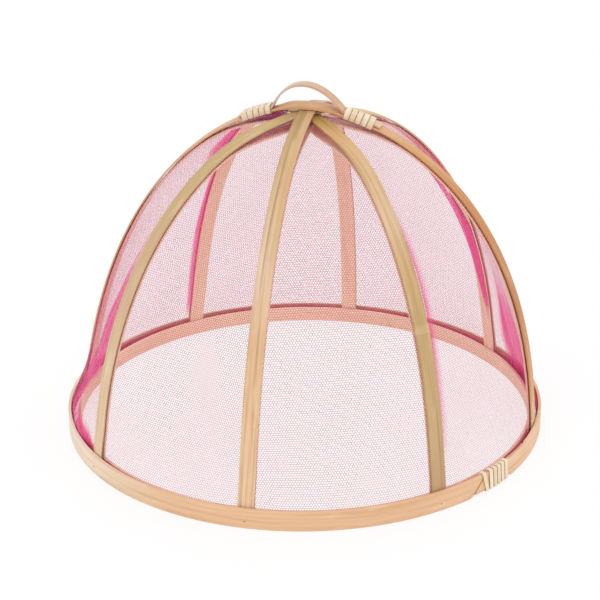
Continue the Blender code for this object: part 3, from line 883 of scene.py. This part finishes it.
def windingLeads(order, middle, slant, lead):
    # how far along the core, in turns, the strand has come at each point of a loop that starts at the back
    travel = [0]
    for (here, _), (after, _) in zip(order, order[1:]):
        travel.append(travel[-1] + (after - here).length)
    total = travel[-1] + (order[0][0] - order[-1][0]).length
    places = [0, travel[1], travel[middle - 1], travel[middle + 1], travel[-1], total]
    begin = -(1 - slant) / 2 if lead is None else lead
    leads = [begin, lead or 0, lead or 0, slant, slant, slant + (1 - slant) / 2]
    return [float(np.interp(s, places, leads)) for s in travel]


# the strand's section, in half widths and half thicknesses
strandSection = (
    (-1, 0), (-0.93, 0.55), (-0.78, 0.88), (-0.4, 1), (0, 1), (0.4, 1), (0.78, 0.88), (0.93, 0.55), (1, 0),
    (0.93, -0.6), (0.78, -1), (0, -1), (-0.78, -1), (-0.93, -0.6),
)


def makeWinding(name, corners, cornerPoints, turns, pitch, slant, width, place, look, firstLead=None):
    path = wrapOutline(corners, cornerPoints, dome["seat"] + bindingShape["strandThickness"] / 2)
    sides = [k for k in range(len(path)) if isMiddle(path, k)]
    front, back = sides[0], sides[-1]
    order = path[back:] + path[:back]
    points = []
    for turn in range(turns):
        leads = windingLeads(order, (front - back) % len(order), slant, firstLead if turn == 0 else None)
        points += [(turn + advance, spot, normal) for (spot, normal), advance in zip(order, leads)]
    points.append((turns - (1 - slant) / 2, *path[back]))
    half, thick = width / 2, bindingShape["strandThickness"] / 2
    rings, centres = [], []
    for advance, spot, normal in points:
        ring = []
        for wide, high in strandSection:
            corner = spot + normal * thick * high
            ring.append(place(advance * pitch + half * wide, corner.x, corner.y))
        centres.append(place(advance * pitch, spot.x, spot.y))
        rings.append(ring)
    lengths = travelled(centres)
    material = bambooFinish(name, {**look, "length": lengths[-1]})
    return sweep(name + "_wound", rings, lengths, material, crease=60)


def makeHandleBinding(name, rib, seed):
    half, foot = dome["lathWidth"] / 2, handleShape["width"] / 2
    top = dome["seat"] + handleShape["thickness"]
    under = -dome["lathThickness"]
    corners = ((half, under), (half, 0), (foot, top), (-foot, top), (-half, 0), (-half, under))

    def place(along, across, out):
        reach = bindingShape["handleStart"] + along
        return rib.point(rib.shareAt(reach), across, -out)

    return makeWinding(
        name, corners, (9, 5, 5, 5, 5, 9), bindingShape["handleTurns"], bindingShape["handlePitch"],
        bindingShape["handleSlant"], bindingShape["handleStrandWidth"], place,
        {**handleCaneLook, "seed": seed},
    )


def makeHoopBinding():
    half = dome["hoopThickness"] / 2
    middle = dome["hoopRadius"] - half
    top = dome["hoopHeight"]
    corners = ((top, -half), (top, half), (notchDepth, half), (notchDepth, -half))

    def place(along, across, out):
        bearing = radians(bindingShape["hoopDegrees"]) + along / dome["hoopRadius"]
        reach = middle + out
        return Vector((reach * cos(bearing), reach * sin(bearing), across))

    return makeWinding(
        "hoop_binding", corners, (9,) * 4, bindingShape["hoopTurns"], bindingShape["hoopPitch"],
        bindingShape["hoopSlant"], bindingShape["strandWidth"], place, {**caneLook, "seed": 67.0},
        bindingShape["hoopLead"],
    )


rightBinding = makeHandleBinding("handle_binding_right", sideRibs[1], 61.0)
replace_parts(rightBinding, "handle_binding_right")
leftBinding = makeHandleBinding("handle_binding_left", sideRibs[0], 64.0)
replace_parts(leftBinding, "handle_binding_left")
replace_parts(makeHoopBinding(), "hoop_binding")
print("bindings wound")

# Net: real threads in three directions, laid on the gore between two ribs

netShape = {
    "rowSpacing": 0.0016,
    "threadWidth": 0.00018,
    "threadThickness": 0.00009,
    "step": 0.008,
    "layer": 0.00007,
    "startRadius": 0.006,
    "foldMargin": 0.0004,
    "hugFade": 0.045,
    "rimFade": 0.010,
    "across": 16,
    "roomShare": 0.8,
    "rimGap": 0.0003,
    "spread": 6,
    "edge": 0.0012,
    "rows": 70,
    "columns": 33,
    "turns": ((0, 0), (60, 0), (-60, 0.5)),
    "shortest": 6,
    "probe": 0.0005,
}
netLook = {
    "colours": ((214, 72, 124), (224, 94, 144)), "cloud": 35.0,
    "alpha": 0.42, "roughness": 0.55, "gloss": 0.3,
}


def goreRow(rib, share, depth):
    # the net across one gore: flat on both ribs, hugging the dome and the hoop between them
    after = ribAfter(rib)
    between = (after.crown - rib.crown) % (2 * pi)
    room = netShape["roomShare"] * rib.profile(share)[0] * tan(between / 2)
    fold = min(dome["lathWidth"] / 2 + netShape["foldMargin"], room)
    edge = netShape["edge"]
    row = [rib.point(share, edge, depth, netDrop), rib.point(share, fold, depth, netDrop)]
    last = [after.point(share, -fold, depth, netDrop), after.point(share, -edge, depth, netDrop)]
    start, end = row[-1], last[0]
    for step in range(1, netShape["across"]):
        along = step / netShape["across"]
        point = start.lerp(end, along)
        above = max(point.z - dome["hoopHeight"], 0)
        hug = exp(-above / netShape["hugFade"])
        arc = hypot(start.x, start.y) * (1 - along) + hypot(end.x, end.y) * along
        room = hoopBore - netShape["rimGap"] - (depth - netDepth)
        if rib.name == "right_front" and point.z < dome["hoopHeight"]:
            room -= bindingShape["strandThickness"] + 2 * dome["seat"]  # clear of the lashing
        spread = min(1, along * netShape["spread"], (1 - along) * netShape["spread"])
        rim = exp(-above / netShape["rimFade"])
        arc += (room - arc) * smooth(spread) * rim if room > arc else room - arc
        swell = 1 + (arc / hypot(point.x, point.y) - 1) * hug
        row.append(Vector((point.x * swell, point.y * swell, point.z)))
    return row + last


class Gore:
    # the net between two ribs, unrolled: w runs across from its middle line, s runs down from the crown
    def __init__(self, rib):
        first = rib.shareAt(netShape["startRadius"])
        shares = np.linspace(first, 1, netShape["rows"])
        self.grids, self.widths = [], []
        for layer in (-1, 0, 1):
            depth = netMiddle + layer * netShape["layer"]
            grid = []
            for share in shares:
                row = np.array([tuple(point) for point in goreRow(rib, share, depth)])
                travel = np.concatenate([[0], np.cumsum(np.linalg.norm(np.diff(row, axis=0), axis=1))])
                even = np.linspace(0, travel[-1], netShape["columns"])
                grid.append(np.stack([np.interp(even, travel, row[:, axis]) for axis in range(3)], axis=1))
                if layer == 0:
                    self.widths.append(travel[-1] / 2)
            self.grids.append(np.array(grid))
        middle = self.grids[1]
        steps = np.linalg.norm(np.diff(middle, axis=0), axis=2).mean(axis=1)
        self.down = np.concatenate([[0], np.cumsum(steps)])
        self.widths = np.array(self.widths)

    def halfWidth(self, s):
        return np.interp(s, self.down, self.widths)

    def points(self, w, s, layer):
        row = np.interp(s, self.down, np.arange(len(self.down)))
        column = (w / self.halfWidth(s) + 1) / 2 * (netShape["columns"] - 1)
        row = np.clip(row, 0, len(self.down) - 1.001)
        column = np.clip(column, 0, netShape["columns"] - 1.001)
        i, j = row.astype(int), column.astype(int)
        fi, fj = (row - i)[:, None], (column - j)[:, None]
        grid = self.grids[layer]
        upper = grid[i, j] * (1 - fj) + grid[i, j + 1] * fj
        lower = grid[i + 1, j] * (1 - fj) + grid[i + 1, j + 1] * fj
        return upper * (1 - fi) + lower * fi

    def area(self):
        return float(np.sum((self.widths[1:] + self.widths[:-1]) * np.diff(self.down)))

    def lines(self, degrees, offset):
        # every thread of one direction, as rows of (w, s)
        angle = radians(degrees)
        heading, normal = np.array((cos(angle), sin(angle))), np.array((-sin(angle), cos(angle)))
        length, half = self.down[-1], self.widths.max()
        reach = hypot(half, length)
        count = int(2 * reach / netShape["rowSpacing"]) + 2
        centre = np.array((0, length / 2))
        probe = np.arange(-reach, reach, netShape["probe"])
        for k in range(-count // 2, count // 2):
            middle = centre + normal * (k + offset) * netShape["rowSpacing"]
            w, s = (middle + probe[:, None] * heading).T
            inside = (s >= 0) & (s <= length) & (abs(w) <= self.halfWidth(s))
            edges = np.flatnonzero(np.diff(np.concatenate([[0], inside.astype(int), [0]])))
            for begin, end in zip(edges[::2], edges[1::2]):
                if end - begin < netShape["shortest"]:
                    continue
                span = probe[end - 1] - probe[begin]
                pieces = max(1, round(span / netShape["step"]))
                along = np.linspace(probe[begin], probe[end - 1], pieces + 1)
                yield middle + along[:, None] * heading


def netFinish():
    material, tree, shader = newFinish("net")
    shade = cloud(tree, netLook["cloud"], 2.0).span(0.35, 0.65)
    colour = shade.mix(*(tint(*colour) for colour in netLook["colours"]))
    values = {
        "Base Color": colour, "Roughness": netLook["roughness"], "Alpha": netLook["alpha"],
        "Specular IOR Level": netLook["gloss"],
    }
    plug(tree, shader, values)
    return material


def flattenThreads(mesh, centres, headings, normals):
    # each thread's round section is pressed flat on the net's surface, as in knitted net
    normals = normals / np.linalg.norm(normals, axis=1)[:, None]
    sides = np.cross(headings, normals)
    sides = sides / np.linalg.norm(sides, axis=1)[:, None]
    corners = np.empty(len(mesh.vertices) * 3)
    mesh.vertices.foreach_get("co", corners)
    corners = corners.reshape(len(centres), 4, 3)
    way = np.cross(corners[:, 1] - corners[:, 0], corners[:, 2] - corners[:, 1])
    same = np.sign(np.sum(way * np.cross(sides, normals), axis=1))[:, None]
    wide = sides * netShape["threadWidth"] / 2
    high = normals * same * netShape["threadThickness"] / 2
    flat = np.stack([centres + wide, centres + high, centres - wide, centres - high], axis=1)
    mesh.vertices.foreach_set("co", flat.ravel())


def makeNet(rib, material):
    gore = Gore(rib)
    threads = bpy.data.curves.new("threads", "CURVE")
    threads.dimensions = "3D"
    threads.bevel_depth = netShape["threadWidth"] / 2
    threads.bevel_resolution = 0
    centres, headings, normals = [], [], []
    for layer, (degrees, offset) in enumerate(netShape["turns"]):
        for line in gore.lines(degrees, offset):
            w, s = line.T
            points = gore.points(w, s, layer)
            centres.append(points)
            headings.append(np.gradient(points, axis=0))
            normals.append(gore.points(w, s, 0) - gore.points(w, s, 2))
            spline = threads.splines.new("POLY")
            spline.points.add(len(points) - 1)
            weighted = np.concatenate([points, np.ones((len(points), 1))], axis=1)
            spline.points.foreach_set("co", weighted.ravel())
    rope = newObject("threads", threads)
    mesh = bpy.data.meshes.new_from_object(rope.evaluated_get(bpy.context.evaluated_depsgraph_get()))
    bpy.data.objects.remove(rope)
    mesh.name = "net_" + rib.name + "_threads"
    flattenThreads(mesh, *(np.concatenate(rows) for rows in (centres, headings, normals)))
    piece = newPiece(mesh, material)
    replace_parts(piece, "net_" + rib.name)
    gore.area()
    return piece


netMaterial = netFinish()
for rib in ribs:
    net = makeNet(rib, netMaterial)
    print("net laid:", net.name, len(net.data.polygons), "faces")

# Gathered net: folds beside laths, the net bunched under the laths at the crown, and its hem in the hoops

foldShape = {
    "stations": 40,
    "columns": 9,
    "behindNet": 0.0003,
    "insideLath": 0.0006,
    "ripple": 0.0003,
    "ripples": 2.5,
    "slotInset": 0.0009,
    "slotStart": 0.001,
    "slotClear": 0.0001,
    "slotLeast": 0.0002,
    "bindingRoom": (0.005, 0.001),
    "shadedLip": 0.20,
    "hemFrom": 0.0135,
    "hemTo": 0.004,
    "hemStations": 24,
    "hemMargin": 0.02,
    "leastFlat": 0.0101,
    "leastShare": 0.31,
}
# each fold: the rib it lies by, how softly its edges end, and its ends as (share down the rib, from, to);
# from and to are shares of the gore after the rib or, with onLath, metres across the inner lath
netFolds = {
    "fold_left": {
        "rib": "left", "soft": (0.5, 0.05, 0.25, 0.3), "alpha": 0.95,
        "ends": (
            (0.56, 0.82, 0.93), (0.66, 0.76, 0.93), (0.75, 0.66, 0.95), (0.80, 0.54, 0.97),
            (0.834, 0.52, 0.96), (0.863, 0.50, 0.90), (0.891, 0.42, 0.78), (0.91, 0.38, 0.66),
            (0.93, 0.36, 0.58), (0.95, 0.34, 0.52), (0.976, 0.34, 0.48), (0.995, 0.32, 0.46),
        ),
    },
    "fold_right": {
        "rib": "right", "soft": (0.6, 0.02, 0.35, 0.12), "alpha": 0.9,
        "ends": (
            (0.76, 0.5, 0.72), (0.82, 0.44, 0.76), (0.86, 0.34, 0.79), (0.90, 0.26, 0.84),
            (0.931, 0.2, 0.87), (0.956, 0.16, 0.875), (0.975, 0.12, 0.87), (0.995, 0.1, 0.86),
        ),
    },
    "fold_back_left": {
        "rib": "back_left", "soft": (0.2, 0.1, 0.1, 0.5), "alpha": 0.95,
        "ends": (
            (0.60, 0.03, 0.12), (0.64, 0.03, 0.125), (0.72, 0.03, 0.115), (0.80, 0.03, 0.12),
            (0.88, 0.03, 0.1), (0.98, 0.02, 0.075),
        ),
    },
    "fold_back_left_upper": {
        "rib": "back_left", "soft": (0.22, 0.4, 0.08, 0.4), "alpha": 1.0,
        "ends": (
            (0.36, 0.03, 0.16), (0.42, 0.04, 0.25), (0.44, 0.04, 0.29), (0.47, 0.05, 0.34),
            (0.50, 0.06, 0.40), (0.54, 0.08, 0.40), (0.60, 0.06, 0.3), (0.66, 0.04, 0.17),
        ),
    },
    "fold_right_front": {
        "rib": "right_front", "soft": (0.3, 0.1, 0.02, 1.4), "alpha": 1.0,
        "ends": (
            (0.45, 0.05, 0.15), (0.55, 0.07, 0.16), (0.63, 0.075, 0.165), (0.73, 0.065, 0.15),
            (0.77, 0.055, 0.14), (0.855, 0.038, 0.115), (0.911, 0.03, 0.105), (0.95, 0.03, 0.1),
        ),
    },
    "fold_rim_left": {
        "rib": "left", "soft": (0.6, 0.05, 0.15, 0.1), "alpha": 0.85, "look": "deep",
        "ends": ((0.952, 0.35, 0.85), (0.965, 0.3, 0.93), (0.975, 0.25, 0.96), (0.985, 0.2, 0.97)),
    },
    "fold_back_right": {
        "rib": "back_right", "soft": (0.08, 0.2, 0.08, 0.08), "alpha": 1.0, "onLath": True,
        "ends": (
            (0.59, 0.015, 0.022), (0.655, 0.0045, 0.0158), (0.70, -0.0015, 0.0118), (0.74, -0.007, 0.0095),
            (0.80, -0.0072, 0.0052), (0.84, -0.0070, 0.0032), (0.87, -0.008, 0.001), (0.895, -0.009, -0.0008),
            (0.915, -0.008, -0.003), (0.935, -0.0062, -0.0042),
        ),
    },
}
foldDepth = netMiddle + foldShape["behindNet"]
# under each outer lath: how far out the slot's fold runs, how dense it is, and how much of it fades out
commonSlot = (0.075, 0.5, 0.3)
slotFolds = {"right": (0.075, 0.1, 0.3), "left": (0.052, 0.7, 0.7)}
# the gathered net's first two pinks are the nylon's pink, deeper where the net lies in layers, and also
# raised brighter than the threads' pink to make up for the shade of grazing folds, which is painted light
foldColours = {
    "colour": tint(255, 102, 176), "deep": tint(248, 82, 156), "hem": tint(236, 100, 152),
    # the next two pinks, for the net in the slots under the outer laths, are darkened as painted shade, the
    # left slot's most; the last, a dark maroon for a slot's two edges, is painted shade too
    "slot": tint(206, 84, 146), "slotDarkShade": tint(164, 52, 112), "shadedLip": tint(126, 42, 56),
}
foldGrain = {"cloud": 600.0, "crease": (1.5, 9), "pleats": (1.2, 24)}
foldCover = {"least": 0.34, "cloud": 0.3, "crease": 0.3, "pleats": 0.5, "hem": 0.62, "shadedLip": 0.7}


def fadeEnds(wire, first, last):
    return wire.span(0, first) * (1 - wire.span(1 - last, 1))


def foldFinish(name, soft, cover, colour, shadedLip):
    # layers of net, thinner towards the edges; the last argument is how far the two dark edges of a slot
    # reach in, a painted shade
    material, tree, shader = newFinish(name)
    along, across = alongAndAcross(tree)
    noise = cloud(tree, foldGrain["cloud"], 2.0)
    crease = fibres(tree, along, across, *foldGrain["crease"], cover * 10)
    pleats = fibres(tree, along, across, *foldGrain["pleats"], cover * 10 + 3).span(0.36, 0.6)
    layers = noise.span(0.3, 0.7) * foldCover["cloud"] + crease * foldCover["crease"]
    layers = (layers + pleats * foldCover["pleats"] + foldCover["least"]) * cover
    alpha = fadeEnds(along, *soft[:2]) * fadeEnds(across, *soft[2:]) * layers
    colour = crease.span(0.35, 0.65).mix(colour, colour if shadedLip else foldColours["deep"])
    if shadedLip:
        # a dark maroon band along both long edges of a slot's net: painted shade
        rim = 1 - across.span(shadedLip / 2, shadedLip) * (1 - across.span(1 - shadedLip, 1 - shadedLip / 2))
        colour = rim.mix(colour, foldColours["shadedLip"])
        alpha = alpha + rim * foldCover["shadedLip"]
    values = {"Base Color": colour, "Roughness": 0.6, "Alpha": alpha.clamp(), "Specular IOR Level": 0.3}
    plug(tree, shader, values, noise)
    return material


def layFold(name, rows, soft, cover, colour, shadedLip=0):
    # a sheet on rows of points, each row running across it
    last, columns = len(rows) - 1, len(rows[0])
    shell = gridShell(rows, lambda station, column: (station / last, column / (columns - 1)), columns - 1)
    shell.normal_update()
    outward = 0
    for face in shell.faces:
        corner = face.verts[0].co
        outward += face.normal.dot(Vector((corner.x, corner.y, 0.02)))
    if outward < 0:
        bmesh.ops.reverse_faces(shell, faces=shell.faces)
    area = sum(face.calc_area() for face in shell.faces)
    piece = finishPiece(name, shell, foldFinish(name, soft, cover, colour, shadedLip))
    length = travelled([row[columns // 2] for row in rows])[-1]
    widest = max(max(travelled(row)[-1] for row in rows), foldShape["leastFlat"], area / length)
    area = max(area, foldShape["leastShare"] * widest * length)
    return piece


def lathLevel(rib):
    firsts = [first for _, first in lathOrder]
    return firsts.index(rib.name if rib.name in firsts else opposite(rib).name)


def acrossGore(rib, share, fractions, depth):
    row = goreRow(rib, share, depth)
    travel = travelled(row)
    spots = [[point[axis] for point in row] for axis in range(3)]
    return [Vector([np.interp(f * travel[-1], travel, line) for line in spots]) for f in fractions]


def makeFold(name, fold):
    rib = ribByName[fold["rib"]]
    shares, froms, tos = zip(*fold["ends"])
    level = lathLevel(rib)
    steps = [k / (foldShape["columns"] - 1) for k in range(foldShape["columns"])]
    rows = []
    for share in np.linspace(shares[0], shares[-1], foldShape["stations"]):
        low, high = (float(np.interp(share, shares, limits)) for limits in (froms, tos))
        places = [low + (high - low) * step for step in steps]
        if fold.get("onLath"):
            depth = innerLathDepth + dome["lathThickness"] + foldShape["insideLath"]
            row = [rib.point(share, place, depth, netDrop + level * crossingStep) for place in places]
        else:
            row = acrossGore(rib, share, places, foldDepth)
        for step, point in zip(steps, row):
            wave = sin(step * foldShape["ripples"] * 2 * pi) * foldShape["ripple"] * sin(step * pi)
            point -= Vector((point.x, point.y, 0)).normalized() * (foldShape["ripple"] + wave)
        rows.append(row)
    return layFold(
        "net_" + name, rows, fold["soft"], fold["alpha"], foldColours[fold.get("look", "colour")],
    )


def makeSlotFold(rib, level):
    # the net bunched up in the slot under an outer lath, out from the crossing, in darker pinks and with dark
    # edges that are painted shade
    across = dome["lathWidth"] / 2 - foldShape["slotInset"]
    slotTo, cover, fade = slotFolds.get(rib.name, commonSlot)
    clear = foldShape["slotClear"]
    before, behind = foldShape["bindingRoom"]
    rows = []
    for reach in np.linspace(plateau + foldShape["slotStart"], slotTo, foldShape["stations"]):
        share = rib.shareAt(float(reach))
        top = dome["lathThickness"] + clear
        if level == 0 and bindingShape["handleStart"] - before < reach < handleShape["rightEnd"] + behind:
            top += bindingShape["strandThickness"] + 2 * dome["seat"]
        high = [rib.point(share, side * across, top, level * crossingStep) for side in (-1, 1)]
        low = [rib.point(share, side * across, netDepth - clear, netDrop) for side in (-1, 1)]
        if high[0].z - low[0].z > foldShape["slotLeast"]:
            row = [high[0].lerp(low[0], k / 4) for k in range(4)]
            row += [low[0].lerp(low[1], k / 3) for k in range(4)]
            rows.append(row + [low[1].lerp(high[1], k / 4) for k in range(1, 5)])
    name = "net_slot_" + rib.name
    shadedLip = foldShape["shadedLip"] / (len(lathOrder) - 1 - level)
    soft = (0.01, fade, 0.01, 0.01)
    # a darker pink for the slot's net, darkest under the left lath: painted shade
    colour = foldColours["slotDarkShade" if rib.name == "left" else "slot"]
    return layFold(name, rows, soft, cover, colour, shadedLip)


def makeHem(rib):
    # the net's edge, folded over between the hoops
    first, last = (
        bisect(lambda share: rib.section(share, netDepth, 0)[1] > height, 0.5, 1, 1e-5)
        for height in (foldShape["hemFrom"], foldShape["hemTo"])
    )
    between = (ribAfter(rib).foot - rib.foot) % (2 * pi)
    margin = foldShape["hemMargin"]
    rows = []
    for step in range(foldShape["hemStations"] + 1):
        along = margin + (1 - 2 * margin) * step / foldShape["hemStations"]
        fall = hoopShape["backFall"] * backward(rib.foot + between * along)
        row = []
        for down in (0, 0.25, 0.5, 0.75, 1):
            share = first + (last - first) * down
            spot = acrossGore(rib, share, [along], foldDepth)[0]
            row.append(spot - Vector((0, 0, fall * (1 - down))))
        rows.append(row)
    name = "net_hem_" + rib.name
    return layFold(name, rows, (0.01,) * 4, foldCover["hem"], foldColours["hem"])


for name, fold in netFolds.items():
    makeFold(name, fold)
for level, (_, first) in enumerate(lathOrder[:-1]):
    for rib in (ribByName[first], opposite(ribByName[first])):
        makeSlotFold(rib, level)
for rib in ribs:
    makeHem(rib)
print("net gathered")

# Rim pins keep their solids

pinLook = {"colour": tint(126, 104, 88), "worn": tint(176, 160, 142)}


def pinFinish():
    material, tree, shader = newFinish("pin")
    noise = cloud(tree, 900.0, 3.0)
    colour = noise.span(0.4, 0.65).mix(pinLook["colour"], pinLook["worn"])
    plug(tree, shader, {"Base Color": colour, "Roughness": noise * 0.2 + 0.28, "Metallic": 1})
    return material


pinMaterial = pinFinish()
for rib in ribs:
    dress(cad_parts["rim_pin_" + rib.name].data, pinMaterial)
print("pins finished")
